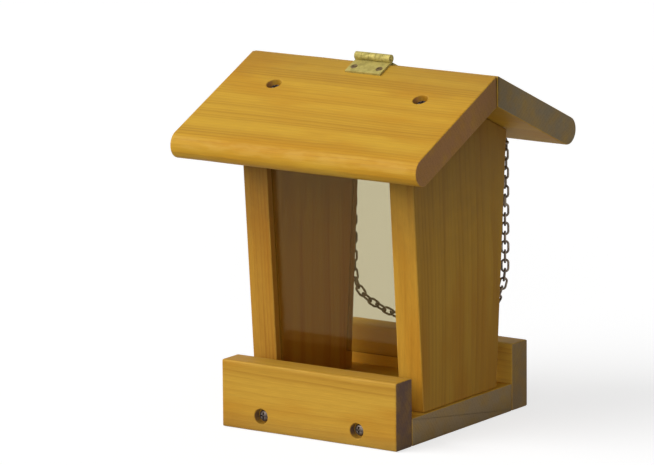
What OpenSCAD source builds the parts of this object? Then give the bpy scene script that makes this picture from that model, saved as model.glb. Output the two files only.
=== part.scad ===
// Small cedar hopper feeder for wild birds.
// A tray with two rails carries two gabled end walls, which carry a fixed front roof board.
// The rear roof board is the filling lid, hinged at the ridge on one brass butt hinge.
// Clear panels slide in grooves between the walls, and a chain hangs on two screw eyes.
// Millimetres, +Z up, front towards -Y, origin under the middle of the floor.

/* [Boards] */
// Thickness of the floor board
floor_t = 22; // [18:0.5:25]
// Thickness of the front and rear rails
rail_t = 22; // [18:0.5:25]
// Thickness of the two end walls
wall_t = 22; // [18:0.5:25]
// Thickness of the two roof boards
roof_t = 22; // [18:0.5:25]
// Radius on the long edges of the rails
ease_r = 1.2; // [0.6:0.2:2.4]

/* [Tray] */
// Length of the floor and of both rails, side to side
tray_len = 160; // [150:1:180]
// Depth of the floor board between the rails
floor_depth = 140; // [130:1:160]
// Height of the rails
rail_h = 53; // [46:1:58]

/* [End walls] */
// How far each wall's outer face stands in from the end of the floor
wall_inset = 2; // [0:0.5:5]
// Width of each wall at the floor
wall_foot = 102; // [94:0.5:106]
// Width of each wall at its widest, where its edges meet the roof
wall_head = 132; // [120:0.5:134]

/* [Roof] */
// Height of the ridge above the ground
ridge_h = 277; // [266:1:290]
// Slope of both roof boards in degrees
roof_pitch = 24.5; // [21:0.5:28]
// Length of the roof boards, side to side
roof_len = 224; // [215:1:240]
// Width of each roof board down its slope
roof_run = 127; // [118:1:140]
// Gap between the two boards along the ridge
ridge_gap = 1; // [0.6:0.1:2]
// Gap between the closed lid and the rear slopes of the walls
lid_gap = 0.3; // [0.2:0.1:0.6]

/* [Hinge] */
// Length of the hinge along the ridge
hinge_len = 32; // [28:1:38]
// Width of each leaf from the pin to its free edge
leaf_w = 18.5; // [17:0.5:21]
// Thickness of the leaves
leaf_t = 1.6; // [1.2:0.1:2]
// Diameter of the barrel
barrel_d = 6.5; // [6:0.1:8]
// Diameter of the pin
pin_d = 3; // [2:0.1:3.6]
// Number of knuckles, the outer ones on the front leaf
knuckles = 5; // [3:2:7]
// Gap beside and around each knuckle
knuckle_gap = 0.3; // [0.2:0.05:0.5]
// Radial clearance between the pin and the knuckles
pin_fit = 0.05; // [0.02:0.01:0.1]
// How far the pin stands out of each end of the barrel
pin_proud = 0.8; // [0.4:0.1:1.5]
// Distance between the two screws of a leaf
leaf_screw_span = 23; // [18:0.5:25]
// Distance of those screws from the pin, down the slope
leaf_screw_run = 11.8; // [9:0.1:12.5]

/* [Clear panels] */
// Thickness of the clear panels
panel_t = 2.4; // [2:0.1:3]
// Distance from a wall's sloping edge to the groove
groove_setback = 6; // [4.5:0.5:9]
// Depth of the grooves in the walls
groove_depth = 5; // [3:0.5:7]
// Clearance on each side of a panel in its groove, and at its ends and top
panel_fit = 0.3; // [0.2:0.1:0.6]
// Height of the seed gap under the panels
seed_gap = 15; // [10:1:20]

/* [Wood screws] */
// Diameter of the counterbores
bore_d = 12; // [10:0.5:13]
// Depth of the counterbores
bore_depth = 6; // [4:0.5:8]
// Diameter of the screw heads
head_d = 9; // [8:0.1:9.6]
// Height of the domed screw heads
head_h = 3; // [2.4:0.1:3.6]
// Diameter of the screw shanks
shank_d = 4.2; // [3.6:0.1:4.8]
// Length of the screws under the head
screw_len = 38; // [32:1:44]
// Radial clearance round the screw shanks
screw_fit = 0.1; // [0.05:0.05:0.2]
// Distance between the two screws of a rail
rail_screw_span = 88; // [76:1:96]
// How far the rail screws stand above the middle of the floor's edge
rail_screw_rise = 1; // [-2:0.5:3]
// Distance of the roof screws from the ridge, down the slope
roof_screw_run = 41; // [34:1:52]
// Distance between the two screws under each wall
foot_screw_span = 52; // [40:1:60]

/* [Leaf screws] */
// Diameter of the countersunk heads
leaf_head_d = 5.6; // [5.2:0.1:5.8]
// Diameter of the shanks
leaf_shank_d = 2.8; // [2.4:0.1:3.2]
// Length of the screws from the top of the leaf
leaf_screw_len = 13; // [10:0.5:16]

/* [Screw eyes] */
// Drop from the ridge to the screw eyes
eye_drop = 66; // [65:0.5:70]
// Distance of each screw eye in from the outer face of its wall
eye_inset = 8; // [6:0.5:12]
// Wire diameter of the screw eyes
eye_wire = 2.6; // [2.2:0.1:2.8]
// Diameter of the ring, measured on the middle of its wire
eye_ring = 8.5; // [8:0.5:10]
// Length of the neck between the wood and the ring
eye_neck = 0.8; // [0.6:0.1:2]
// Depth of the screw eyes in the wood
eye_depth = 16; // [10:1:22]

/* [Chain] */
// Wire diameter of the links
link_wire = 1.8; // [1.5:0.1:1.9]
// Outer width of a link
link_w = 7; // [6.8:0.1:7.6]
// Length of chain that each link takes up
link_pitch = 7.3; // [7:0.05:7.5]
// Slack between neighbouring links, and between the end links and the eyes
link_slack = 0.25; // [0.15:0.05:0.35]
// Least height of the hanging loop's lowest point above the rails
loop_rise = 5.5; // [4.5:0.5:14]
// Radius of the hanging loop's left corner
left_corner_r = 26; // [22:1:32]
// Radius of the hanging loop's right corner
right_corner_r = 52; // [44:1:56]
// Slope at which the shallow bow leaves the left corner, in degrees
left_bow_angle = 26; // [20:0.5:29]
// Slope at which the shallow bow leaves the right corner, in degrees
right_bow_angle = 12; // [10:0.5:16]
// How far the strands are twisted out of square in degrees
strand_twist = 34; // [0:1:45]
// Number of links over which that twist builds up from each end
twist_links = 8; // [4:1:12]

/* [Hidden] */

cedar = "goldenrod";
cedar_dark = "darkgoldenrod";
brass = "gold";
steel = "dimgray";
acrylic = "lightcyan";
fine = 48; // facets of a round shape in the viewer
far = 400; // longer than any cut through the feeder

// Walls: outline of the gable, worked out from the roof that it carries
wall_out_x = tray_len / 2 - wall_inset;
wall_in_x = wall_out_x - wall_t;
wall_mid_x = wall_out_x - wall_t / 2;
under_ridge_h = ridge_h - roof_t / cos(roof_pitch); // where the undersides would meet
shoulder_h = under_ridge_h - wall_head / 2 * tan(roof_pitch);
edge_lean = atan((wall_head - wall_foot) / 2 / (shoulder_h - floor_t));

// Half width of a wall at a height
function wall_edge_y(z) = wall_foot / 2 + (z - floor_t) * tan(edge_lean);

// Height of the roof's underside at a distance from the ridge plane
function roof_under_z(y) = under_ridge_h - y * tan(roof_pitch);

// Clear panels: the groove is cut along the wall's edge, its width measured level
groove_w = (panel_t + 2 * panel_fit) / cos(edge_lean);
groove_foot_z = floor_t + seed_gap;
panel_top_z = roof_under_z(wall_head / 2 - groove_setback) - lid_gap - panel_fit;

// Level distance from the middle of the feeder to the outer side of a groove at a height
function groove_y(z) = wall_edge_y(z) - groove_setback / cos(edge_lean);

// Hinge: the barrel stands clear of both boards by the knuckle gap. Distances along a
// leaf are taken from the foot of the pin, which lies a little beyond the ridge.
pin_lift = barrel_d / 2 + knuckle_gap;
pin_z = ridge_h + pin_lift / cos(roof_pitch);
pin_foot = pin_lift * tan(roof_pitch);
knuckle_len = hinge_len / knuckles;
notch_run = sqrt(pow(barrel_d / 2 + knuckle_gap, 2) - pow(pin_lift - leaf_t, 2)) + knuckle_gap;

// Screw eyes: driven square into the sloping rear edge of each wall
eye_x = wall_out_x - eye_inset;
eye_h = ridge_h - eye_drop;
eye_y = wall_edge_y(eye_h);
eye_reach = eye_neck + eye_wire / 2 + eye_ring; // from the wood to the far side of the ring
chain_y = eye_y + eye_reach * cos(edge_lean);
chain_hang_z = eye_h - eye_reach * sin(edge_lean);

// Chain: a straight strand from each eye, a round corner below it, and a shallow bow
// between the corners, of a radius that makes it meet both. It has the greatest odd number
// of links that keeps its lowest point clear of the rails.
link_bore_l = link_pitch + link_slack;
link_mid_r = (link_w - link_wire) / 2;
link_leg = link_bore_l - (link_w - 2 * link_wire);
chain_top_z = chain_hang_z + eye_wire / 2 + link_slack / 2;
bow_r = (2 * eye_x - left_corner_r * (1 - sin(left_bow_angle))
    - right_corner_r * (1 - sin(right_bow_angle))) / (sin(left_bow_angle) + sin(right_bow_angle));
left_corner_len = left_corner_r * (90 - left_bow_angle) * PI / 180;
right_corner_len = right_corner_r * (90 - right_bow_angle) * PI / 180;
bow_len = bow_r * (left_bow_angle + right_bow_angle) * PI / 180;
corner_step = bow_r * (cos(left_bow_angle) - cos(right_bow_angle))
    + right_corner_r * cos(right_bow_angle) - left_corner_r * cos(left_bow_angle);
loop_len = left_corner_len + bow_len + right_corner_len;
bow_drop = bow_r - (bow_r - left_corner_r) * cos(left_bow_angle);
longest = 2 * (chain_top_z - bow_drop - rail_h - loop_rise) - corner_step + loop_len;
link_count = 2 * floor((longest / link_pitch - 1) / 2) + 1;
chain_len = link_count * link_pitch;
both_strands = chain_len - loop_len;
left_strand = (both_strands + corner_step) / 2;
right_strand = (both_strands - corner_step) / 2;
left_corner_z = chain_top_z - left_strand;
right_corner_z = chain_top_z - right_strand;
bow_x = left_corner_r - eye_x + (bow_r - left_corner_r) * sin(left_bow_angle);
bow_z = left_corner_z + (bow_r - left_corner_r) * cos(left_bow_angle);

// Point [x, z] of the chain at a length s from the right eye
function chain_point(s) =
    s < right_strand
        ? [eye_x, chain_top_z - s]
    : s < right_strand + right_corner_len
        ? let (a = (s - right_strand) / right_corner_r * 180 / PI)
            [eye_x - right_corner_r * (1 - cos(a)), right_corner_z - right_corner_r * sin(a)]
    : s < chain_len - left_strand - left_corner_len
        ? let (a = right_bow_angle - (s - right_strand - right_corner_len) / bow_r * 180 / PI)
            [bow_x + bow_r * sin(a), bow_z - bow_r * cos(a)]
    : s < chain_len - left_strand
        ? let (a = (chain_len - left_strand - s) / left_corner_r * 180 / PI)
            [left_corner_r * (1 - cos(a)) - eye_x, left_corner_z - left_corner_r * sin(a)]
        : [-eye_x, chain_top_z - chain_len + s];

// Turn of a link about its own length: square to its neighbour, plus the strand's twist
function link_turn(i) =
    90 * (i + 1) + strand_twist * min(1, i / twist_links, (link_count - 1 - i) / twist_links);

// ---- Shared shapes ----

// Extrudes an outline drawn as [y, z] along X, centred on x
module along_x(length, x = 0) {
    translate([x - length / 2, 0, 0])
        rotate([90, 0, 90])
            linear_extrude(length)
                children();
}

// Rectangle with rounded corners, from the origin
module eased_rectangle(w, h, r) {
    translate([r, 0])
        square([w - 2 * r, h]);
    translate([0, r])
        square([w, h - 2 * r]);
    for (x = [r, w - r], y = [r, h - r])
        translate([x, y])
            circle(r, $fn = fine);
}

// Places its children on the top face of a roof board: +X along the ridge, +Y down the
// slope, +Z out of the wood. side is -1 for the front board and 1 for the lid.
module on_slope(side, x, run) {
    translate([0, 0, ridge_h])
        mirror([0, side < 0 ? 1 : 0, 0])
            rotate([-roof_pitch, 0, 0])
                translate([x, run, 0])
                    children();
}

// Domed wood screw standing on Z = 0, its shank pointing down and its recess a cross
module wood_screw() {
    tip_l = shank_d * 1.2;
    recess_w = head_d / 7;
    recess_l = head_d * 0.62;
    recess_h = head_h * 0.55;
    difference() {
        rotate_extrude($fn = fine)
            polygon([
                [0, -screw_len],
                [shank_d / 2, tip_l - screw_len],
                [shank_d / 2, 0],
                [head_d / 2, 0],
                [head_d / 2, head_h * 0.45],
                [head_d * 0.42, head_h * 0.75],
                [head_d * 0.27, head_h * 0.95],
                [0, head_h]
            ]);
        for (a = [0, 90])
            rotate([0, 0, a])
                translate([-recess_l / 2, -recess_w / 2, head_h - recess_h])
                    cube([recess_l, recess_w, head_h]);
    }
}

// The hole that a wood screw needs: shank below Z = 0, counterbore above it
module wood_screw_hole() {
    translate([0, 0, -screw_len - screw_fit])
        cylinder(d = shank_d + 2 * screw_fit, h = screw_len + 2 * screw_fit, $fn = fine);
    cylinder(d = bore_d, h = bore_depth + far, $fn = fine);
}

// Places its children at the seat of each screw, shank pointing into the wood
module rail_screw_places(side) {
    for (x = [-1, 1] * rail_screw_span / 2)
        translate([x, side * (floor_depth / 2 + rail_t - bore_depth), floor_t / 2 + rail_screw_rise])
            rotate([-90 * side, 0, 0])
                children();
}

module roof_screw_places() {
    for (x = [-1, 1] * wall_mid_x)
        on_slope(-1, x, roof_screw_run)
            translate([0, 0, -bore_depth])
                children();
}

module foot_screw_places(side) {
    for (y = [-1, 1] * foot_screw_span / 2)
        translate([side * wall_mid_x, y, bore_depth])
            rotate([180, 0, 0])
                children();
}

// Countersunk leaf screw with a slot, flush with Z = 0
module leaf_screw() {
    cone_h = (leaf_head_d - leaf_shank_d) / 2;
    tip_l = leaf_shank_d * 1.2;
    slot_w = leaf_head_d / 7;
    difference() {
        rotate_extrude($fn = fine)
            polygon([
                [0, -leaf_screw_len],
                [leaf_shank_d / 2, tip_l - leaf_screw_len],
                [leaf_shank_d / 2, -cone_h],
                [leaf_head_d / 2, 0],
                [0, 0]
            ]);
        translate([-leaf_head_d, -slot_w / 2, -slot_w])
            cube([2 * leaf_head_d, slot_w, 2 * slot_w]);
    }
}

// The hole that a leaf screw needs, through the leaf and into the board
module leaf_screw_hole() {
    cone_h = (leaf_head_d - leaf_shank_d) / 2;
    translate([0, 0, -leaf_screw_len - screw_fit])
        cylinder(d = leaf_shank_d + 2 * screw_fit, h = leaf_screw_len, $fn = fine);
    translate([0, 0, -cone_h - screw_fit])
        cylinder(
            r1 = leaf_shank_d / 2,
            r2 = leaf_head_d / 2 + 2 * screw_fit,
            h = cone_h + 2 * screw_fit,
            $fn = fine
        );
}

module leaf_screw_places(side) {
    for (x = [-1, 1] * leaf_screw_span / 2)
        on_leaf(side, x, leaf_screw_run)
            translate([0, 0, leaf_t])
                children();
}

// ---- Tray ----

module floor_board() {
    color(cedar_dark)
        difference() {
            translate([-tray_len / 2, -floor_depth / 2, 0])
                cube([tray_len, floor_depth, floor_t]);
            for (side = [-1, 1]) {
                rail_screw_places(side)
                    wood_screw_hole();
                foot_screw_places(side)
                    wood_screw_hole();
            }
        }
}

module rail(side) {
    color(cedar)
        difference() {
            mirror([0, side < 0 ? 1 : 0, 0])
                along_x(tray_len)
                    translate([floor_depth / 2, 0])
                        eased_rectangle(rail_t, rail_h, ease_r);
            rail_screw_places(side)
                wood_screw_hole();
        }
}

module front_rail() {
    rail(-1);
}

module rear_rail() {
    rail(1);
}

// ---- End walls ----

// Outline of a wall as [y, z]: the rear slope lies lower by the gap under the lid
module wall_outline() {
    lid_drop = lid_gap / cos(roof_pitch);
    rear_head = (wall_foot / 2 + (under_ridge_h - lid_drop - floor_t) * tan(edge_lean))
        / (1 + tan(edge_lean) * tan(roof_pitch));
    polygon([
        [-wall_foot / 2, floor_t],
        [-wall_head / 2, shoulder_h],
        [0, under_ridge_h],
        [0, under_ridge_h - lid_drop],
        [rear_head, roof_under_z(rear_head) - lid_drop],
        [wall_foot / 2, floor_t]
    ]);
}

// Outline of a groove as [y, z], parallel to the wall's front edge and open at the top
module groove_outline() {
    polygon([
        [-groove_y(groove_foot_z), groove_foot_z],
        [-groove_y(ridge_h), ridge_h],
        [-groove_y(ridge_h) + groove_w, ridge_h],
        [-groove_y(groove_foot_z) + groove_w, groove_foot_z]
    ]);
}

module end_wall(side) {
    color(cedar)
        difference() {
            along_x(wall_t, side * wall_mid_x)
                wall_outline();
            for (flip = [0, 1])
                mirror([0, flip, 0])
                    along_x(2 * groove_depth, side * wall_in_x)
                        groove_outline();
            roof_screw_places()
                wood_screw_hole();
            foot_screw_places(side)
                wood_screw_hole();
            eye_place(side)
                translate([0, 0, -eye_depth - screw_fit])
                    cylinder(d = eye_wire + 2 * screw_fit, h = eye_depth + eye_wire, $fn = fine);
        }
}

module left_end_wall() {
    end_wall(-1);
}

module right_end_wall() {
    end_wall(1);
}

// ---- Roof ----

// Outline of a roof board as [run, thickness]: plumb at the ridge, rounded at the eave
module roof_outline() {
    eave_r = roof_t / 2;
    top_run = ridge_gap / 2 / cos(roof_pitch);
    difference() {
        polygon([
            [top_run, 0],
            [roof_run, 0],
            [roof_run, -roof_t],
            [top_run + roof_t * tan(roof_pitch), -roof_t]
        ]);
        translate([roof_run - eave_r, -eave_r])
            difference() {
                translate([0, -roof_t])
                    square([roof_t, 2 * roof_t]);
                circle(eave_r, $fn = fine);
            }
    }
}

module roof_board(side) {
    difference() {
        on_slope(side, 0, 0)
            along_x(roof_len)
                roof_outline();
        leaf_screw_places(side)
            leaf_screw_hole();
    }
}

module front_roof_board() {
    color(cedar)
        difference() {
            roof_board(-1);
            roof_screw_places()
                wood_screw_hole();
        }
}

module rear_roof_lid() {
    color(cedar)
        roof_board(1);
}

// ---- Hinge ----

// Places its children on a board, with +Y running down the slope from the foot of the pin
module on_leaf(side, x, run) {
    on_slope(side, x, run - pin_foot)
        children();
}

// One leaf with its knuckles: a plate and a full barrel, with room cut for the other leaf's
// knuckles. other is the first knuckle that belongs to the other leaf.
module hinge_leaf(side, other) {
    color(brass)
        difference() {
            union() {
                on_leaf(side, -hinge_len / 2, 0)
                    cube([hinge_len, leaf_w, leaf_t]);
                along_x(hinge_len)
                    translate([0, pin_z])
                        circle(barrel_d / 2, $fn = fine);
            }
            for (i = [other : 2 : knuckles - 1])
                on_leaf(side, i * knuckle_len - hinge_len / 2 - knuckle_gap / 2, -barrel_d)
                    translate([0, 0, -leaf_t])
                        cube([knuckle_len + knuckle_gap, barrel_d + notch_run, 2 * barrel_d]);
            along_x(hinge_len + far)
                translate([0, pin_z])
                    circle(pin_d / 2 + pin_fit, $fn = fine);
            leaf_screw_places(side)
                leaf_screw_hole();
        }
}

module hinge_front_leaf() {
    hinge_leaf(-1, 1);
}

module hinge_rear_leaf() {
    hinge_leaf(1, 0);
}

module hinge_pin() {
    rim = pin_d / 8;
    half = hinge_len / 2 + pin_proud;
    color(brass)
        translate([0, 0, pin_z])
            rotate([0, 90, 0])
                rotate_extrude($fn = fine)
                    polygon([
                        [0, -half],
                        [pin_d / 2 - rim, -half],
                        [pin_d / 2, rim - half],
                        [pin_d / 2, half - rim],
                        [pin_d / 2 - rim, half],
                        [0, half]
                    ]);
}

module front_leaf_screws() {
    color(brass)
        leaf_screw_places(-1)
            leaf_screw();
}

module rear_leaf_screws() {
    color(brass)
        leaf_screw_places(1)
            leaf_screw();
}

// ---- Clear panels ----

module clear_panel(flip) {
    length = 2 * (wall_in_x + groove_depth - panel_fit);
    front_fit = panel_fit / cos(edge_lean);
    back_fit = front_fit + panel_t / cos(edge_lean);
    color(acrylic, 0.4)
        mirror([0, flip, 0])
            along_x(length)
                polygon([
                    [front_fit - groove_y(groove_foot_z), groove_foot_z],
                    [front_fit - groove_y(panel_top_z), panel_top_z],
                    [back_fit - groove_y(panel_top_z), panel_top_z],
                    [back_fit - groove_y(groove_foot_z), groove_foot_z]
                ]);
}

module front_clear_panel() {
    clear_panel(0);
}

module rear_clear_panel() {
    clear_panel(1);
}

// ---- Wood screws ----

module roof_screws() {
    color(steel)
        roof_screw_places()
            wood_screw();
}

module front_rail_screws() {
    color(steel)
        rail_screw_places(-1)
            wood_screw();
}

module rear_rail_screws() {
    color(steel)
        rail_screw_places(1)
            wood_screw();
}

module left_wall_screws() {
    color(steel)
        foot_screw_places(-1)
            wood_screw();
}

module right_wall_screws() {
    color(steel)
        foot_screw_places(1)
            wood_screw();
}

// ---- Screw eyes and chain ----

// Places its children where an eye enters the wood, +Z square out of the wall's edge
module eye_place(side) {
    translate([side * eye_x, eye_y, eye_h])
        rotate([-90 - edge_lean, 0, 0])
            children();
}

module screw_eye(side) {
    ring_z = eye_neck + (eye_ring + eye_wire) / 2;
    point_l = eye_wire * 1.5;
    color(steel)
        eye_place(side) {
            translate([0, 0, ring_z])
                rotate([90, 0, 0])
                    rotate_extrude($fn = fine)
                        translate([eye_ring / 2, 0])
                            circle(d = eye_wire, $fn = fine);
            translate([0, 0, point_l - eye_depth])
                cylinder(d = eye_wire, h = eye_depth - point_l + eye_neck + eye_wire / 2, $fn = fine);
            translate([0, 0, -eye_depth])
                cylinder(d1 = 0.4, d2 = eye_wire, h = point_l, $fn = fine);
        }
}

module left_screw_eye() {
    screw_eye(-1);
}

module right_screw_eye() {
    screw_eye(1);
}

// A link in the XZ plane, its length along Z
module chain_link() {
    for (flip = [0, 1])
        mirror([0, 0, flip])
            translate([0, 0, link_leg / 2])
                rotate([90, 0, 0])
                    rotate_extrude(angle = 180, $fn = fine)
                        translate([link_mid_r, 0])
                            circle(d = link_wire, $fn = fine);
    for (x = [-1, 1] * link_mid_r)
        translate([x, 0, 0])
            cylinder(d = link_wire, h = link_leg, center = true, $fn = fine);
}

module hanging_chain() {
    color(steel)
        for (i = [0 : link_count - 1]) {
            a = chain_point(i * link_pitch);
            b = chain_point((i + 1) * link_pitch);
            translate([(a[0] + b[0]) / 2, chain_y, (a[1] + b[1]) / 2])
                rotate([0, atan2(a[0] - b[0], a[1] - b[1]), 0])
                    rotate([0, 0, link_turn(i)])
                        chain_link();
        }
}

// ---- Assembly ----

floor_board();
front_rail();
rear_rail();
left_end_wall();
right_end_wall();
front_roof_board();
rear_roof_lid();
front_clear_panel();
rear_clear_panel();
hinge_front_leaf();
hinge_rear_leaf();
hinge_pin();
front_leaf_screws();
rear_leaf_screws();
roof_screws();
front_rail_screws();
rear_rail_screws();
left_wall_screws();
right_wall_screws();
left_screw_eye();
right_screw_eye();
hanging_chain();
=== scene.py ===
"""A small cedar hopper feeder for wild birds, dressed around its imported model.

Metres, +Z up, front towards -Y. The sections follow the feeder as it is put together: tray,
end walls, clear panels, roof, hinge, screws, screw eyes and chain.
"""
import math

import bpy
import numpy as np
from mathutils import Matrix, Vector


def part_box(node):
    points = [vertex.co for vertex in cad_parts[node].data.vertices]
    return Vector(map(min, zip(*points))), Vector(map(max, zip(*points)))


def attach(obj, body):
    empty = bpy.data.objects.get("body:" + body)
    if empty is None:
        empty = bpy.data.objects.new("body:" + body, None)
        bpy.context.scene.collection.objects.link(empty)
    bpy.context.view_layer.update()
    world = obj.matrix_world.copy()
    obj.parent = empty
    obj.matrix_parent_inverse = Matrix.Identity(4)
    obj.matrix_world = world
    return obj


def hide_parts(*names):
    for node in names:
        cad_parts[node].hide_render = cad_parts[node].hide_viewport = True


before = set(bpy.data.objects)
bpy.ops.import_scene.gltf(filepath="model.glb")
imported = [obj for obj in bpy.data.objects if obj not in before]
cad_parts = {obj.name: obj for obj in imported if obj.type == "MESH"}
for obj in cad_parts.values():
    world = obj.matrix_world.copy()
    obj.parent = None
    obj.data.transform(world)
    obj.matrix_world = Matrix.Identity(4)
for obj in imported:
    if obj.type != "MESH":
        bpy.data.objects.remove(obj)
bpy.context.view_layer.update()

# ---- Camera ----
# A long lens stands ahead and to the right of the feeder and looks slightly down on it.
# The feeder stands a little right of the middle of the view and above it.
bearing, looking_down, tilt = np.radians((33.924, 11.332, -0.356))
stand_off = 4.4
look_at = np.array((0, 0, 0.150))
off_right, off_up = 0.00834, 0.00124

back = np.array((
    np.sin(bearing) * np.cos(looking_down),
    -np.cos(bearing) * np.cos(looking_down),
    np.sin(looking_down),
))
level = np.array((np.cos(bearing), np.sin(bearing), 0))
upright = np.cross(back, level)
across = np.cos(tilt) * level + np.sin(tilt) * upright
upward = np.cos(tilt) * upright - np.sin(tilt) * level
behind = back + off_right * across + off_up * upward
behind /= np.linalg.norm(behind)
upward = np.cross(behind, across)
upward /= np.linalg.norm(upward)
across = np.cross(upward, behind)

lens = bpy.data.cameras.new("camera")
lens.sensor_width = 36
lens.lens = 315.77
lens.clip_end = 100
camera = bpy.data.objects.new("camera", lens)
bpy.context.scene.collection.objects.link(camera)
pose = np.eye(4)
pose[:3] = np.column_stack((across, upward, behind, look_at + stand_off * back))
camera.matrix_world = Matrix(pose.tolist())
bpy.context.scene.camera = camera

# ---- Floor and light ----
# A pale floor that runs out of sight, a broad lamp high at the front left, a weak one low at
# the front right that lights the seed box, and an even glow all round. The camera and the
# reflections see the floor and the room as white.
room_glow = 0.14
floor_grey = 0.42
floor_glow = 0.72
floor_reach = 40
floor_drop = 0.0003

bpy.context.scene.view_settings.view_transform = "Standard"


def add(tree, kind, inputs=(), **settings):
    """Adds one node to a tree: its settings, then each input as a value or a link."""
    n = tree.nodes.new("ShaderNode" + kind)
    for name, value in settings.items():
        setattr(n, name, value)
    for name, value in dict(inputs).items():
        if isinstance(value, bpy.types.NodeSocket):
            tree.links.new(value, n.inputs[name])
        else:
            n.inputs[name].default_value = value
    return n


def calc(tree, operation, a, b=0.0, c=0.0):
    """One sum on numbers, as the output of a Math node."""
    return add(tree, "Math", {0: a, 1: b, 2: c}, operation=operation).outputs[0]


def show(tree, shader, kind="OutputMaterial"):
    """Makes a shader what a material, or the room, looks like."""
    tree.links.new(shader.outputs[0], add(tree, kind).inputs["Surface"])


def blank(name):
    """A new material without nodes, and its tree."""
    material = bpy.data.materials.new(name)
    material.use_nodes = True
    material.node_tree.nodes.clear()
    return material, material.node_tree


def seen_share(tree):
    """1 for what the camera, a reflection or a clear panel looks at, and 0 for other light."""
    path = add(tree, "LightPath").outputs
    most = calc(tree, "MAXIMUM", path["Is Camera Ray"], path["Is Glossy Ray"])
    return calc(tree, "MAXIMUM", most, path["Is Transmission Ray"])


world = bpy.data.worlds.new("room")
world.use_nodes = True
bpy.context.scene.world = world
room = world.node_tree
room.nodes.clear()
glow = calc(room, "MULTIPLY_ADD", seen_share(room), 1 - room_glow, room_glow)
show(room, add(room, "Background", {"Color": (1, 1, 1, 1), "Strength": glow}), "OutputWorld")

for name, come_from, strength, width in (
    ("key", (-0.50, -0.64, 0.56), 2.75, 55),
    ("fill", (0.46, -0.86, 0.14), 0.95, 40),
):
    lamp = bpy.data.objects.new(name, bpy.data.lights.new(name, "SUN"))
    lamp.data.energy = strength
    lamp.data.angle = math.radians(width)
    bpy.context.scene.collection.objects.link(lamp)
    lamp_back = np.array(come_from) / np.linalg.norm(come_from)
    lamp_side = np.cross((0, 0, 1), lamp_back)
    lamp_side /= np.linalg.norm(lamp_side)
    pose = np.eye(4)
    pose[:3, :3] = np.column_stack((lamp_side, np.cross(lamp_back, lamp_side), lamp_back))
    lamp.matrix_world = Matrix(pose.tolist())

floor_mesh = bpy.data.meshes.new("floor")
floor_corners = [
    (x * floor_reach, y * floor_reach, -floor_drop)
    for x, y in ((-1, -1), (1, -1), (1, 1), (-1, 1))
]
floor_mesh.from_pydata(floor_corners, [], [(0, 1, 2, 3)])
floor = bpy.data.objects.new("floor", floor_mesh)
bpy.context.scene.collection.objects.link(floor)
paper, tree = blank("floor")
matt = add(tree, "BsdfDiffuse", {"Color": (floor_grey, floor_grey, floor_grey, 1)})
lift = calc(tree, "MULTIPLY", seen_share(tree), floor_glow)
shine = add(tree, "Emission", {"Color": (1, 1, 1, 1), "Strength": lift})
show(tree, add(tree, "AddShader", {0: matt.outputs[0], 1: shine.outputs[0]}))
floor_mesh.materials.append(paper)

# ---- Tray: floor board and two rails ----
# Three pieces of 22 mm cedar, sawn, sanded and stained honey gold. The rails are screwed to
# the floor's long edges, two screws each, with the heads sunk in 12 mm counterbores.
mm = 0.001


def outline(corners, radii, step=3 * mm, hold=0.4 * mm):
    """Closed outline in [y, z], anticlockwise. Each corner gives way to an arc that touches
    both its sides: the arc starts and ends at its radius over the tangent of half the
    corner's angle, and its centre is at its radius over the sine of that half angle. The
    rest of each side is cut into even steps, with a short one, the hold, next to each arc.
    Returns the points, their outward normals, and 1 where a point is on an arc."""
    arc_step = 1.2 * mm
    c = np.asarray(corners, float)
    radii = np.broadcast_to(np.asarray(radii, float), len(c))
    area = np.cross(c, np.roll(c, -1, 0)).sum()
    if area < 0:
        c, radii = c[::-1], radii[::-1]
    u = np.roll(c, 1, 0) - c
    v = np.roll(c, -1, 0) - c
    u /= np.linalg.norm(u, axis=1)[:, None]
    v /= np.linalg.norm(v, axis=1)[:, None]
    half = np.arccos(np.clip((u * v).sum(1), -1, 1)) / 2
    reach = (radii / np.tan(half))[:, None]
    bisector = (u + v) / np.linalg.norm(u + v, axis=1)[:, None]
    middle = c + bisector * (radii / np.sin(half))[:, None]
    first, last = c + u * reach, c + v * reach
    points, normals, on_arc = [], [], []
    for k in range(len(c)):
        turn = math.atan2(*(first[k] - middle[k])[::-1])
        a = turn + np.linspace(0, np.pi - 2 * half[k], 4 + int(radii[k] / arc_step))
        spoke = np.column_stack((np.cos(a), np.sin(a)))
        points.append(middle[k] + radii[k] * spoke)
        normals.append(spoke)
        on_arc.append(np.ones(len(a)))
        side = first[(k + 1) % len(c)] - last[k]
        length = np.linalg.norm(side)
        steps = max(1, round(length / step))
        s = np.concatenate(([hold], np.linspace(0, length, steps + 1)[1:-1], [length - hold]))
        points.append(last[k] + side / length * s[:, None])
        normals.append(np.broadcast_to((side[1] / length, -side[0] / length), (len(s), 2)))
        on_arc.append(np.zeros(len(s)))
    return np.concatenate(points), np.concatenate(normals), np.concatenate(on_arc)


def sanded(p, seed):
    """How much a sander has taken off at each point, from 0 to 1: a half, plus an eighth of
    the sum of four sine waves, each with its own direction, phase and rate per metre."""
    chance = np.random.default_rng(seed)
    rates = np.array(((40, 70, 70), (90, 120, 120), (25, 60, 60), (150, 200, 200)))
    waves = chance.normal(size=(4, 3)) * rates
    phases = chance.uniform(0, 2 * np.pi, 4)
    return 0.5 + np.sin(p @ waves.T + phases).sum(-1) / 8


def soften(mesh, smooth_below=40):
    """Shades a mesh smooth, except where faces meet at more than that many degrees."""
    mesh.shade_smooth()
    mesh.set_sharp_from_angle(angle=math.radians(smooth_below))


def new_piece(name, verts, faces, smooth_below=40):
    """A mesh object from arrays of points and faces."""
    mesh = bpy.data.meshes.new(name)
    mesh.from_pydata(np.asarray(verts).tolist(), [], faces)
    soften(mesh, smooth_below)
    piece = bpy.data.objects.new(name, mesh)
    bpy.context.scene.collection.objects.link(piece)
    return piece


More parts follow.
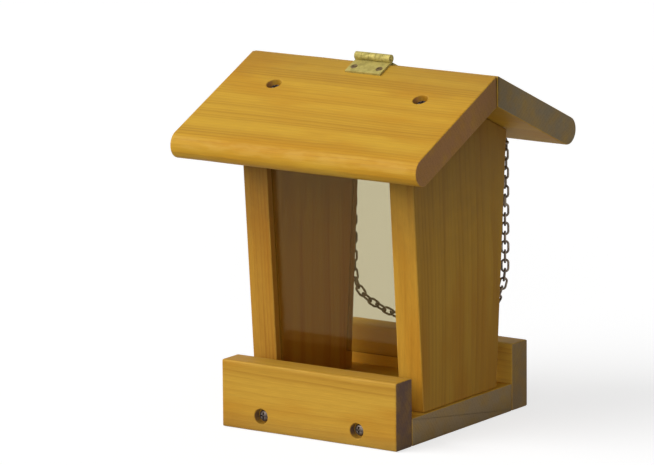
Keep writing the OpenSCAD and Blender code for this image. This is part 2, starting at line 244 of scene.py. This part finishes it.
def board(
    name, shape, ends, seed=1, ease=1.1 * mm, step=3 * mm,
    worn=0.10 * mm, knocked=0.28 * mm, hold=0.4 * mm,
):
    """A board is its outline carried along X. At each end the outline draws in by the ease
    times one less the sine of an angle, while x moves in by the ease times one less its
    cosine, from 0 to 90 degrees, which rounds the arris. Each point then sinks along its
    normal by worn times the sanding there, and on the arcs by knocked times another."""
    points, normals, on_arc = shape
    a = np.linspace(0, np.pi / 2, 5)
    into = np.concatenate(([0], ease * (1 - np.cos(a)), [ease + hold]))
    drawn = np.concatenate(([ease + hold], ease * (1 - np.sin(a)), [0]))
    places = max(2, round((ends[1] - ends[0]) / step))
    middle = np.linspace(ends[0] + ease, ends[1] - ease, places)[1:-1]
    x = np.concatenate((ends[0] + into, middle, ends[1] - into[::-1]))
    draw = np.concatenate((drawn, np.zeros(len(middle)), drawn[::-1]))
    yz = points[None] - draw[:, None, None] * normals[None]
    p = np.concatenate((np.broadcast_to(x[:, None, None], yz.shape[:2] + (1,)), yz), axis=2)
    inside = (x > ends[0] + ease / 2) & (x < ends[1] - ease / 2)
    sunk = (worn * sanded(p, seed) + knocked * on_arc * sanded(p, seed + 50)) * inside[:, None]
    p[..., 1:] -= sunk[..., None] * normals[None]
    n = len(points)
    i, j = np.meshgrid(np.arange(len(x) - 1) * n, np.arange(n), indexing="ij")
    k = (j + 1) % n
    quads = np.stack((i + j, i + k, i + n + k, i + n + j), -1).reshape(-1, 4)
    caps = [list(range(n))[::-1], list(range((len(x) - 1) * n, len(x) * n))]
    return new_piece(name, p.reshape(-1, 3), quads.tolist() + caps)


def lathe(profile, foot, axis):
    """Points and faces of a profile of [radius, height] turned about an axis from its foot.
    The first and last points of the profile lie on the axis."""
    sides = 48
    axis = np.asarray(axis, float) / np.linalg.norm(axis)
    u = np.cross(axis, (1, 0, 0) if abs(axis[0]) < 0.9 else (0, 1, 0))
    u /= np.linalg.norm(u)
    v = np.cross(axis, u)
    r, h = np.asarray(profile, float).T
    a = np.linspace(0, 2 * np.pi, sides, endpoint=False)
    ring = np.cos(a)[:, None] * u + np.sin(a)[:, None] * v
    body = r[1:-1, None, None] * ring + h[1:-1, None, None] * axis
    points = np.concatenate((body.reshape(-1, 3), [h[0] * axis, h[-1] * axis])) + foot
    i, j = np.meshgrid(np.arange(len(r) - 3) * sides, np.arange(sides), indexing="ij")
    k = (j + 1) % sides
    quads = np.stack((i + j, i + k, i + sides + k, i + sides + j), -1)
    j = np.arange(sides)
    k = (j + 1) % sides
    pole, top = (len(r) - 2) * sides, (len(r) - 3) * sides
    low = np.column_stack((np.full(sides, pole), k, j))
    high = np.column_stack((np.full(sides, pole + 1), top + j, top + k))
    return points, quads.reshape(-1, 4).tolist() + low.tolist() + high.tolist()


def cut(piece, solids):
    """Takes closed solids, each as points and faces, out of a piece. The piece's ends, which
    have many corners, are cut into triangles first."""
    verts, faces = [], []
    for points, sides in solids:
        faces += [[v + len(verts) for v in f] for f in sides]
        verts += np.asarray(points).tolist()
    tool = new_piece("tool", verts, faces)
    piece.modifiers.new("caps", "TRIANGULATE").min_vertices = 5
    bite = piece.modifiers.new("bite", "BOOLEAN")
    bite.object, bite.operation, bite.solver = tool, "DIFFERENCE", "MANIFOLD"
    graph = bpy.context.evaluated_depsgraph_get()
    left = bpy.data.meshes.new_from_object(piece.evaluated_get(graph))
    piece.modifiers.clear()
    whole, piece.data = piece.data, left
    left.name = piece.name
    bpy.data.meshes.remove(whole)
    bpy.data.objects.remove(tool)
    soften(left)


bore_r = 6 * mm
bore_depth = 6 * mm


def counterbore(seat, out):
    """A hole from a screw's seat out through the face, with a small bevel at its rim."""
    bevel, past = 0.5 * mm, 0.1 * mm
    rim_r = bore_r + bevel + past
    profile = (
        (0, 0), (bore_r, 0), (bore_r, bore_depth - bevel), (rim_r, bore_depth + past),
        (rim_r, 2 * bore_depth), (0, 2 * bore_depth),
    )
    return lathe(profile, seat, out)


def cedar(
    name, turn, pith, ring=2.9 * mm, sawn=(0.30, 0.19, 0.10),
    darkening=(2, 16 * mm, 0, 0.28), tone_and_painted_light=(1.0, 1.0, 1.0),
):
    """Stained cedar. The board's own place is turned so that X runs along its grain. Rings
    are cylinders about a pith line outside the board: the ring number is the distance from
    that line, bent by slow noise, over the ring width, and its fraction darkens from early
    to late wood. Stretched noise adds streaks, fibres and amber patches. Faces square to the
    grain have the sawn colour, and rounded edges are rubbed paler. Each colour channel is
    scaled by its own factor: the stain's depth, and painted light where the factor is above
    one. The colour then darkens along one of the feeder's axes, from one place to another,
    by a share: painted shade under the eaves on the walls, dirt and painted shade at the
    foot of the floor board and rails, part of the painted light on the rear rail, and
    towards the ridge on the roof."""
    pale, late, amber = (0.64, 0.365, 0.034), (0.41, 0.185, 0.012), (0.52, 0.225, 0.010)
    # The second colour is what a board darkens towards along an axis: painted shade on the
    # walls, dirt and painted shade on the floor board and rails.
    rubbed_pale, dark_tone = (0.66, 0.39, 0.07), (0.10, 0.070, 0.030)
    bend_by = 16 * mm
    uneven, uneven_rate = 1.6, 160.0
    relief = 0.16 * mm
    m, t = blank(name)

    def noise(place, stretch, detail=2.0, rough=0.5):
        """Noise on a stretched copy of a place, with its colour and its amount."""
        where = add(t, "VectorMath", {0: place, 1: stretch}, operation="MULTIPLY").outputs[0]
        grit = {"Vector": where, "Scale": 1.0, "Detail": detail, "Roughness": rough}
        return add(t, "TexNoise", grit).outputs

    def between(value, low, high):
        """0 at low, 1 at high, and smooth between."""
        span = {"Value": value, "From Min": low, "From Max": high}
        return add(t, "MapRange", span, interpolation_type="SMOOTHSTEP").outputs[0]

    def blend(share, a, b, kind="MIX"):
        """Mix of two colours by a share."""
        n = add(t, "Mix", data_type="RGBA", blend_type=kind)
        for k, value in ((0, share), (6, a), (7, b)):
            if isinstance(value, bpy.types.NodeSocket):
                t.links.new(value, n.inputs[k])
            else:
                n.inputs[k].default_value = value if k == 0 else (*value, 1)
        return n.outputs[2]

    where = add(t, "TexCoord").outputs
    own = {"Vector": where["Object"], "Rotation": turn, "Location": pith}
    grain = add(t, "Mapping", own).outputs[0]
    slow = {0: noise(grain, (3, 9, 9))["Color"], 1: (0.5, 0.5, 0.5)}
    slow = add(t, "VectorMath", slow, operation="SUBTRACT").outputs[0]
    slow = add(t, "VectorMath", {0: slow, "Scale": bend_by}, operation="SCALE").outputs[0]
    bent = add(t, "VectorMath", {0: grain, 1: slow}, operation="ADD").outputs[0]
    square = add(t, "VectorMath", {0: bent, 1: (0, 1, 1)}, operation="MULTIPLY").outputs[0]
    radius = add(t, "VectorMath", {0: square}, operation="LENGTH").outputs["Value"]
    number = calc(t, "DIVIDE", radius, ring)
    band = add(t, "CombineXYZ", {0: calc(t, "MULTIPLY", radius, uneven_rate)}).outputs[0]
    number = calc(t, "MULTIPLY_ADD", noise(band, (1, 1, 1), 1)[0], uneven, number)
    ramp = add(t, "ValToRGB", {"Fac": calc(t, "FRACT", number)})
    stops = ramp.color_ramp.elements
    for at, dark in ((0.0, 0.30), (0.10, 0.02), (0.50, 0.16), (0.80, 0.70), (0.93, 1.0)):
        e = stops[0] if at == 0 else stops.new(at)
        e.color = (dark, dark, dark, 1)
    stops[-1].position, stops[-1].color = 1.0, (0.30, 0.30, 0.30, 1)
    ringed = ramp.outputs[0]

    streak = between(noise(grain, (1.5, 75, 75), 3, 0.6)[0], 0.34, 0.70)
    patch = between(noise(grain, (7, 26, 26), 3)[0], 0.44, 0.64)
    fibre = noise(grain, (55, 1500, 1500), rough=0.6)[0]
    late_share = calc(t, "MULTIPLY", ringed, calc(t, "MULTIPLY_ADD", streak, 0.38, 0.13))
    late_share = calc(t, "MULTIPLY_ADD", streak, 0.30, late_share)
    tone = blend(late_share, pale, late)
    tone = blend(calc(t, "MULTIPLY", patch, 0.56), tone, amber)
    # Each colour channel is scaled: the stain's depth, and on the rear rail, where the scale is
    # above one, painted light.
    thread = {
        k: calc(t, "MULTIPLY_ADD", fibre, 0.34 * channel_scale, 0.83 * channel_scale)
        for k, channel_scale in enumerate(tone_and_painted_light)
    }
    tone = blend(1.0, tone, add(t, "CombineColor", thread).outputs[0], "MULTIPLY")

    facing = {"Vector": where["Normal"], "Rotation": turn}
    facing = add(t, "VectorRotate", facing, rotation_type="EULER_XYZ").outputs[0]
    facing = add(t, "VectorMath", {0: facing}, operation="ABSOLUTE").outputs[0]
    side = add(t, "SeparateXYZ", {0: facing}).outputs
    end = between(side[0], 0.62, 0.93)
    pores = noise(grain, (1100, 1100, 1100))[0]
    cloud = noise(grain, (60, 60, 60), 3, 0.6)[0]
    end_tone = blend(calc(t, "MULTIPLY", ringed, 0.12), sawn, tuple(0.45 * c for c in sawn))
    pitted = calc(t, "MULTIPLY", between(pores, 0.50, 0.72), 0.30)
    end_tone = blend(pitted, end_tone, tuple(0.30 * c for c in sawn))
    end_tone = blend(between(cloud, 0.35, 0.75), end_tone, blend(0.40, end_tone, tone))
    tone = blend(end, tone, end_tone)
    flat = calc(t, "MAXIMUM", calc(t, "MAXIMUM", side[0], side[1]), side[2])
    edge = calc(t, "SUBTRACT", 1.0, between(flat, 0.90, 0.985))
    rubbed = between(noise(grain, (60, 200, 200))[0], 0.35, 0.62)
    rubbed = calc(t, "MULTIPLY", edge, rubbed)
    tone = blend(calc(t, "MULTIPLY", rubbed, 0.35), tone, rubbed_pale)
    # Darkening along one axis by a share: painted shade on the walls, dirt and painted shade at
    # the foot of the floor board and rails, part of the rear rail's painted light, and towards
    # the ridge on the roof.
    axis, darkening_from, darkening_full, share = darkening
    along = add(t, "SeparateXYZ", {0: where["Object"]}).outputs[axis]
    drift = calc(t, "SUBTRACT", cloud, 0.5)
    along = calc(t, "MULTIPLY_ADD", drift, 0.5 * (darkening_full - darkening_from), along)
    tone = blend(calc(t, "MULTIPLY", between(along, darkening_from, darkening_full), share), tone, dark_tone)

    rough = calc(t, "MULTIPLY_ADD", fibre, 0.22, 0.46)
    rough = calc(t, "MULTIPLY_ADD", end, 0.20, rough)
    height = calc(t, "MULTIPLY_ADD", ringed, 0.45, calc(t, "MULTIPLY", fibre, 0.55))
    height = calc(t, "MULTIPLY_ADD", calc(t, "MULTIPLY", pores, end), 0.25, height)
    bump = add(t, "Bump", {"Height": height, "Strength": 0.6, "Distance": relief})
    show(t, add(t, "BsdfPrincipled", {
        "Base Color": tone, "Roughness": rough, "Normal": bump.outputs[0],
        "Specular IOR Level": 0.14,
    }))
    return m


def dress(piece, material, body, slot, *nodes):
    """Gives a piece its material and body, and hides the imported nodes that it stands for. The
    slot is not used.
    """
    piece.data.materials.clear()
    piece.data.materials.append(material)
    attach(piece, body)
    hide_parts(*nodes)


tray_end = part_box("floor_board")[1].x
floor_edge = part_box("floor_board")[1].y
floor_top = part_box("floor_board")[1].z
rail_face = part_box("rear_rail")[1].y
rail_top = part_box("rear_rail")[1].z
screw_rise = sum(corner.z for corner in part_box("rear_rail_screws")) / 2
head_r = 4.5 * mm
screw_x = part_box("rear_rail_screws")[1].x - head_r
wall_foot_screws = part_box("right_wall_screws")
foot_x = sum(corner.x for corner in wall_foot_screws) / 2
foot_y = wall_foot_screws[1].y - head_r
floor_arris, rail_arris = 1.3 * mm, 1.5 * mm

plank = outline(
    [(-floor_edge, 0), (floor_edge, 0), (floor_edge, floor_top), (-floor_edge, floor_top)],
    floor_arris,
)
base = board("floor_board_cedar", plank, (-tray_end, tray_end), seed=3)
cut(base, [
    counterbore((x, y, bore_depth), (0, 0, -1))
    for x in (-foot_x, foot_x) for y in (-foot_y, foot_y)
])
# The floor board is darker towards its foot: dirt, and painted shade near the ground.
stain = cedar("cedar_floor", (0, 0, 0), (0.3, 0.21, 0.10), sawn=(0.46, 0.325, 0.175))
dress(base, stain, "feeder", "cedar_floor", "floor_board")

# Each rail is darker towards its foot: dirt, and painted shade near the ground. The rear rail's
# colour is scaled well above the stain's, painted light for the inside of the seed box, and it
# darkens towards its right end so that this painted light stays off that end.
for name, side, pith, sawn, tone_and_painted_light, darkening in (
    (
        "front_rail", -1, (0.1, 0.22, 0.06), (0.19, 0.115, 0.085), (0.87, 0.86, 1.05),
        (2, 16 * mm, 0, 0.28),
    ),
    (
        "rear_rail", 1, (0.5, -0.20, 0.075), (0.50, 0.34, 0.18), (1.24, 1.24, 1.55),
        (0, 35 * mm, 75 * mm, 0.34),
    ),
):
    face, back_face = side * rail_face, side * floor_edge
    stick = outline(
        [(back_face, 0), (face, 0), (face, rail_top), (back_face, rail_top)], rail_arris
    )
    rail = board(name + "_cedar", stick, (-tray_end, tray_end), seed=11 + side)
    cut(rail, [
        counterbore((x, face - side * bore_depth, screw_rise), (0, side, 0))
        for x in (-screw_x, screw_x)
    ])
    stain = cedar("cedar_" + name, (0, 0, 0), pith, sawn=sawn, darkening=darkening, tone_and_painted_light=tone_and_painted_light)
    dress(rail, stain, "feeder", "cedar", name)

# ---- End walls ----
# Each wall is one 22 mm board with its grain upright, tapered to the foot, gabled at the
# head, with a 3 mm groove down its inner face for each clear panel.
wall_foot_y = 51 * mm
wall_head_y = -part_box("right_end_wall")[0].y
ridge_z = 277 * mm
pitch = math.radians(24.5)
roof_t = 22 * mm
lid_gap, ridge_gap = 0.3 * mm, 0.2 * mm
under_ridge = ridge_z - roof_t / math.cos(pitch)
lean = (wall_head_y - wall_foot_y) / (under_ridge - wall_head_y * math.tan(pitch) - floor_top)


def wall_edge(z):
    """Half the width of a wall at a height: the foot's, plus the lean times the rise."""
    return wall_foot_y + (z - floor_top) * lean


def under_roof(y):
    """Height of the roof's underside: it falls by the pitch's tangent times the distance
    from the ridge."""
    return under_ridge - abs(y) * math.tan(pitch)


slant = math.hypot(1, lean)
groove_foot = 37 * mm
groove_depth = 5 * mm
groove_in = 6 * mm * slant
groove_width = 3 * mm * slant
wall_arrises = np.array((1.3, 1.3, 1.4, 2, 1.4)) * mm


def box_from(outline_yz, x0, x1):
    """A closed prism between two x from an anticlockwise outline in [y, z]."""
    n = len(outline_yz)
    points = [(x, y, z) for x in (x0, x1) for y, z in outline_yz]
    sides = [(k, (k + 1) % n, n + (k + 1) % n, n + k) for k in range(n)]
    return points, sides + [tuple(range(n))[::-1], tuple(range(n, 2 * n))]


for name, side, pith, tone_and_painted_light in (
    ("left_end_wall", -1, (0.15, 0.05, 0.10), (0.75, 0.66, 0.80)),
    ("right_end_wall", 1, (0.62, -0.06, 0.16), (0.87, 0.82, 0.92)),
):
    low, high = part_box(name)
    shoulder = under_roof(high.y)
    gable = outline(
        [
            (-wall_foot_y, floor_top), (wall_foot_y, floor_top), (high.y, shoulder - lid_gap),
            (0, under_ridge - ridge_gap), (-high.y, shoulder),
        ],
        wall_arrises,
    )
    wall = board(name + "_cedar", gable, (low.x, high.x), seed=21 + side, step=2.5 * mm)
    inner = low.x if side > 0 else high.x
    slots = []
    for face in (-1, 1):
        outer = [face * (wall_edge(z) - groove_in) for z in (groove_foot, ridge_z)]
        four = [
            (outer[0], groove_foot), (outer[0] - face * groove_width, groove_foot),
            (outer[1] - face * groove_width, ridge_z), (outer[1], ridge_z),
        ]
        four = four if face < 0 else four[::-1]
        slots.append(box_from(four, inner - groove_depth, inner + groove_depth))
    cut(wall, slots)
    # Each wall darkens towards its head: painted shade under the eaves.
    stain = cedar(
        "cedar_" + name, (0, math.pi / 2, 0), pith, ring=3.4 * mm,
        darkening=(2, 110 * mm, 225 * mm, 0.42), tone_and_painted_light=tone_and_painted_light,
    )
    dress(wall, stain, "feeder", "cedar", name)

# ---- Clear panels ----
# Two sheets of 2.4 mm clear acrylic, yellowed a little by the sun, that slide down the
# grooves from above. Their foot stands 15 mm above the floor to let the seed out.
panel_t = 2.4 * mm
panel_play = 0.3 * mm
panel_arris = 0.3 * mm
panel_ease = 0.2 * mm
panel_hold = 0.1 * mm
panel_step = 40 * mm

acrylic, t = blank("acrylic")
sheet = add(t, "BsdfPrincipled", {
    "Base Color": (0.72, 0.68, 0.54, 1), "Roughness": 0.02, "IOR": 1.36,
    "Transmission Weight": 1.0, "Specular Tint": (1.0, 0.70, 0.28, 1),
})
through = add(t, "BsdfTransparent", {"Color": (0.98, 0.97, 0.92, 1)})
path = add(t, "LightPath").outputs
lit = calc(t, "MAXIMUM", path["Is Shadow Ray"], path["Is Diffuse Ray"])
show(t, add(t, "MixShader", {0: lit, 1: sheet.outputs[0], 2: through.outputs[0]}))

for name, face in (("front_clear_panel", -1), ("rear_clear_panel", 1)):
    low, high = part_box(name)
    near = groove_in + panel_play * slant
    thick = panel_t * slant
    foot, head = wall_edge(low.z) - near, wall_edge(high.z) - near
    sheet_shape = outline(
        [
            (face * foot, low.z), (face * head, high.z),
            (face * (head - thick), high.z), (face * (foot - thick), low.z),
        ],
        panel_arris, step=panel_step, hold=panel_hold,
    )
    panel = board(
        name + "_sheet", sheet_shape, (low.x, high.x), ease=panel_ease, step=panel_step,
        worn=0, knocked=0, hold=panel_hold,
    )
    dress(panel, acrylic, "feeder", "clear_acrylic", name)

# ---- Roof ----
# Two 22 mm boards with the grain along the ridge, cut plumb where they meet and rounded
# over at the eaves. The front board is screwed to the walls; the rear one is the lid.
run_end = 127 * mm
half_joint = 0.5 * mm
screw_run = 41 * mm


def on_slope(side, run, lift, x=0.0):
    """The point at a run down the slope from the ridge and a lift off the board's top. It is
    out from the ridge by the run times the pitch's cosine plus the lift times its sine, and
    below it by the run times the sine less the lift times the cosine."""
    y = run * math.cos(pitch) + lift * math.sin(pitch)
    return x, side * y, ridge_z - run * math.sin(pitch) + lift * math.cos(pitch)


roof_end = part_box("front_roof_board")[1].x
ridge_arris, eave_round = 1.0 * mm, roof_t / 2 - 0.01 * mm
roof_arrises = (ridge_arris, ridge_arris, eave_round, eave_round)
top_run = half_joint / math.cos(pitch)
roof_corners = (
    (top_run, 0), (top_run + roof_t * math.tan(pitch), -roof_t), (run_end, -roof_t), (run_end, 0)
)
for name, side, body, pith, sawn in (
    ("front_roof_board", -1, "feeder", (0.2, 0.26, -0.17), (0.47, 0.235, 0.090)),
    ("rear_roof_lid", 1, "lid", (0.7, -0.16, -0.10), (0.34, 0.265, 0.160)),
):
    shape = outline([on_slope(side, *p)[1:] for p in roof_corners], roof_arrises)
    roof = board(name + "_cedar", shape, (-roof_end, roof_end), seed=31 + side)
    if side < 0:
        out = np.array(on_slope(side, 0, 1)) - on_slope(side, 0, 0)
        cut(roof, [
            counterbore(on_slope(side, screw_run, -bore_depth, x), out)
            for x in (-foot_x, foot_x)
        ])
    # Each roof board is darker towards the ridge.
    stain = cedar(
        "cedar_" + name, (side * pitch, 0, 0), pith, ring=3.2 * mm, sawn=sawn,
        darkening=(1, side * 45 * mm, side * 2 * mm, 0.26),
    )
    dress(roof, stain, body, "cedar", name)

# ---- Hinge ----
# A small brass butt hinge across the ridge, 32 mm wide, its leaves screwed down with two
# countersunk brass screws each. It has dulled and browned out of doors.


def metal(name, base, dull, rough, metallic=1.0):
    """Weathered metal: the clean colour gives way to the dull one where noise says so, fine
    scratches and pits come from finer noise, and dull places are rougher."""
    cloud_rate, fine_rate = 225.0, 1800.0
    pit_depth = 0.04 * mm
    m, t = blank(name)
    where = add(t, "TexCoord").outputs["Object"]
    cloud = {"Vector": where, "Scale": cloud_rate, "Detail": 4.0, "Roughness": 0.6}
    cloud = add(t, "TexNoise", cloud).outputs[0]
    fine = {"Vector": where, "Scale": fine_rate, "Detail": 3.0, "Roughness": 0.6}
    fine = add(t, "TexNoise", fine).outputs[0]
    share = add(t, "MapRange", {"Value": cloud, "From Min": 0.40, "From Max": 0.66}).outputs[0]
    mixed = add(t, "Mix", data_type="RGBA")
    t.links.new(share, mixed.inputs[0])
    mixed.inputs[6].default_value = (*base, 1)
    mixed.inputs[7].default_value = (*dull, 1)
    roughness = calc(t, "MULTIPLY_ADD", fine, 0.20, rough - 0.10)
    roughness = calc(t, "MULTIPLY_ADD", share, 0.20, roughness)
    bump = add(t, "Bump", {"Height": fine, "Strength": 0.5, "Distance": pit_depth})
    show(t, add(t, "BsdfPrincipled", {
        "Base Color": mixed.outputs[2], "Roughness": roughness, "Normal": bump.outputs[0],
        "Metallic": metallic,
    }))
    return m


def coat(material, *nodes):
    """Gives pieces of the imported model, which keep their shape, a material."""
    for name in nodes:
        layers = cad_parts[name].data.materials
        layers.clear()
        layers.append(material)


brass = metal("brass", (0.47, 0.39, 0.11), (0.34, 0.28, 0.075), 0.62, metallic=0.6)
coat(brass, "hinge_front_leaf", "hinge_rear_leaf", "hinge_pin")
dark_brass = metal("dark_brass", (0.24, 0.17, 0.07), (0.12, 0.08, 0.04), 0.50)
coat(dark_brass, "front_leaf_screws", "rear_leaf_screws")

# ---- Wood screws ----
# Domed cross-recess screws of plated steel, gone dull, at the bottom of the counterbores:
# two through each rail, two down through the front roof board and two up into each wall.
screw_steel = metal("screw_steel", (0.17, 0.14, 0.12), (0.08, 0.062, 0.05), 0.46)
coat(
    screw_steel, "roof_screws", "front_rail_screws", "rear_rail_screws",
    "left_wall_screws", "right_wall_screws",
)

# ---- Screw eyes and chain ----
# A steel screw eye in the rear edge of each wall, and 55 links of 1.8 mm wire between them.
# The chain hangs slack behind the feeder: a strand below each eye, a round corner at the
# foot of each, and a shallow bow between. Links lie square to their neighbours, or nearly.
chain_steel = metal("chain_steel", (0.21, 0.165, 0.125), (0.095, 0.070, 0.052), 0.42)
coat(chain_steel, "left_screw_eye", "right_screw_eye")

wire, link_width, link_pitch, slack, links = 1.8 * mm, 7 * mm, 7.3 * mm, 0.25 * mm, 55
mid_twist, twist_links = 34, 8
eye_x = 70 * mm
chain_low, chain_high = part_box("hanging_chain")
chain_y = (chain_low.y + chain_high.y) / 2
corner_r = np.array((26, 52)) * mm
bow_angle = np.radians((26, 12))


def chain_places(s):
    """Points [x, z] of the chain at lengths s from the right eye. Each stretch is a line or
    an arc: the heading turns by length over radius along an arc and stays along a line. The
    bow's radius is the width that the corners leave, over the sum of the two sines, and the
    strands share the rest of the length so that the chain ends level."""
    path_points = 8001
    sines, cosines = np.sin(bow_angle), np.cos(bow_angle)
    bow_r = (2 * eye_x - (corner_r * (1 - sines)).sum()) / sines.sum()
    corner_turn = np.pi / 2 - bow_angle
    corner_len = corner_r * corner_turn
    bow_len = bow_r * bow_angle.sum()
    step = bow_r * (cosines[0] - cosines[1]) + np.diff(corner_r * cosines)[0]
    both = links * link_pitch - corner_len.sum() - bow_len
    left, right = (both + step) / 2, (both - step) / 2
    knots = np.cumsum((0, right, corner_len[1], bow_len, corner_len[0], left))
    turns = np.cumsum((0, 0, corner_turn[1], bow_angle.sum(), corner_turn[0], 0))
    fine = np.linspace(0, knots[-1], path_points)
    heading = np.interp((fine[1:] + fine[:-1]) / 2, knots, turns)
    steps = np.diff(fine)[:, None] * np.column_stack((-np.sin(heading), -np.cos(heading)))
    path = np.concatenate(([[0.0, 0.0]], np.cumsum(steps, 0)))
    path += (eye_x, chain_high.z - wire - slack / 2)
    return np.column_stack((np.interp(s, fine, path[:, 0]), np.interp(s, fine, path[:, 1])))


def link_shape():
    """One link in the XZ plane: a wire carried round a racetrack of two half circles and two
    legs, with its ring of points square to the track."""
    around, sides = 28, 10
    mid_r = (link_width - wire) / 2
    leg = link_pitch + slack - (link_width - 2 * wire)
    a = np.linspace(0, 2 * np.pi, around, endpoint=False) + np.pi / around
    spoke = np.column_stack((np.cos(a), np.zeros(around), np.sin(a)))
    centre = mid_r * spoke
    centre[:, 2] += np.sign(spoke[:, 2]) * leg / 2
    b = np.linspace(0, 2 * np.pi, sides, endpoint=False)
    out = np.cos(b)[None, :, None] * spoke[:, None]
    off = np.sin(b)[None, :, None] * np.array((0, 1, 0))
    p = centre[:, None] + wire / 2 * (out + off)
    i, j = np.meshgrid(np.arange(around), np.arange(sides), indexing="ij")
    i2, j2 = (i + 1) % around, (j + 1) % sides
    quads = (i * sides + j, i * sides + j2, i2 * sides + j2, i2 * sides + j)
    return p.reshape(-1, 3), np.stack(quads, -1).reshape(-1, 4)


one, ring_faces = link_shape()
ends = chain_places(np.arange(links + 1) * link_pitch)
middles = (ends[1:] + ends[:-1]) / 2
lay = np.arctan2(*(ends[:-1] - ends[1:]).T)
order = np.arange(links)
easing = np.minimum(1, np.minimum(order, links - 1 - order) / twist_links)
twist = np.radians(90 * (order + 1) + mid_twist * easing)
c, s = np.cos(twist)[:, None], np.sin(twist)[:, None]
x, y = c * one[:, 0] - s * one[:, 1], s * one[:, 0] + c * one[:, 1]
z = np.broadcast_to(one[:, 2], x.shape)
c, s = np.cos(lay)[:, None], np.sin(lay)[:, None]
laid = np.stack((c * x + s * z, y, c * z - s * x), -1)
laid += np.stack((middles[:, 0], np.full(links, chain_y), middles[:, 1]), -1)[:, None]
faces = (ring_faces[None] + (order * len(one))[:, None, None]).reshape(-1, 4)
chain = new_piece("hanging_chain_links", laid.reshape(-1, 3), faces.tolist(), 180)
dress(chain, chain_steel, "chain", "chain_steel", "hanging_chain")
